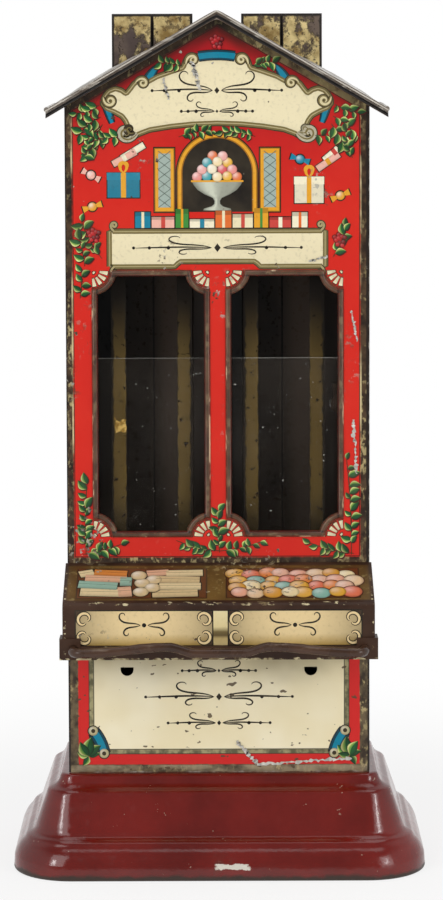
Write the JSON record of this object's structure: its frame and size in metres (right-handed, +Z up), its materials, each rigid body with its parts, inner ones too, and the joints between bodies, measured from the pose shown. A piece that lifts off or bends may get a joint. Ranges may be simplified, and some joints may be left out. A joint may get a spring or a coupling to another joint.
{
  "type": "toy sweet dispenser and money box",
  "caption": "Gabled shop-front toy in printed tinplate that pushes a wrapped sweet into its counter drawer when a coin is dropped in a receptor behind the roof.",
  "frame": {"origin": "middle of the underside of the base", "axes": "+Z up, -Y the front with the counter, +X to the right seen from the front"},
  "size_m": [0.1372, 0.0986, 0.2847],
  "materials": {
    "red_enamel": "worn gloss enamel",
    "printed_red": "worn lithographed print",
    "printed_cream": "worn lithographed print",
    "brown_print": "worn brown lacquer",
    "gold_tin": "tarnished gold lacquer on tinplate",
    "bare_tin": "dulled tinplate",
    "lock_brass": "dull brass",
    "pane": "dusty window glass"
  },
  "bodies": {
    "casing": {"base_plinth": "red_enamel", "base_bottom": "bare_tin", "front_panel": "printed_red", "lower_front_panel": "printed_cream", "left_side_panel": "printed_red", "right_side_panel": "printed_red", "roof": "bare_tin", "window_glass": "pane", "left_glass_channel": "gold_tin", "right_glass_channel": "gold_tin", "glass_sill": "gold_tin", "magazine_floor": "gold_tin", "magazine_top": "gold_tin", "left_outer_rail": "gold_tin", "left_inner_rail": "gold_tin", "right_inner_rail": "gold_tin", "right_outer_rail": "gold_tin", "drawer_shelf": "gold_tin", "left_runner": "gold_tin", "right_runner": "gold_tin", "hinge_wire": "bare_tin"},
    "door": {"back_door": "brown_print", "left_coin_chute": "gold_tin", "right_coin_chute": "gold_tin", "keyhole_plate": "lock_brass"},
    "lock": {"lock_plug": "lock_brass"},
    "drawer": {"drawer_tray": "gold_tin", "tray_divider": "gold_tin", "coin_carriage": "gold_tin", "counter_shell": "brown_print", "counter_rail": "brown_print", "pull_bar": "brown_print"}
  },
  "joints": [
    {"name": "drawer_slide", "type": "slide", "parent": "casing", "child": "drawer", "axis": [0, -1, 0], "range_m": [0, 0.03]},
    {"name": "door_hinge", "type": "hinge", "parent": "casing", "child": "door", "pos_m": [-0.0487, 0.0223, 0.1425], "axis": [0, 0, 1], "range_deg": [0, 110]},
    {"name": "lock_turn", "type": "hinge", "parent": "door", "child": "lock", "pos_m": [0.0419, 0.0232, 0.15], "axis": [0, 1, 0], "range_deg": [0, 90]}
  ]
}
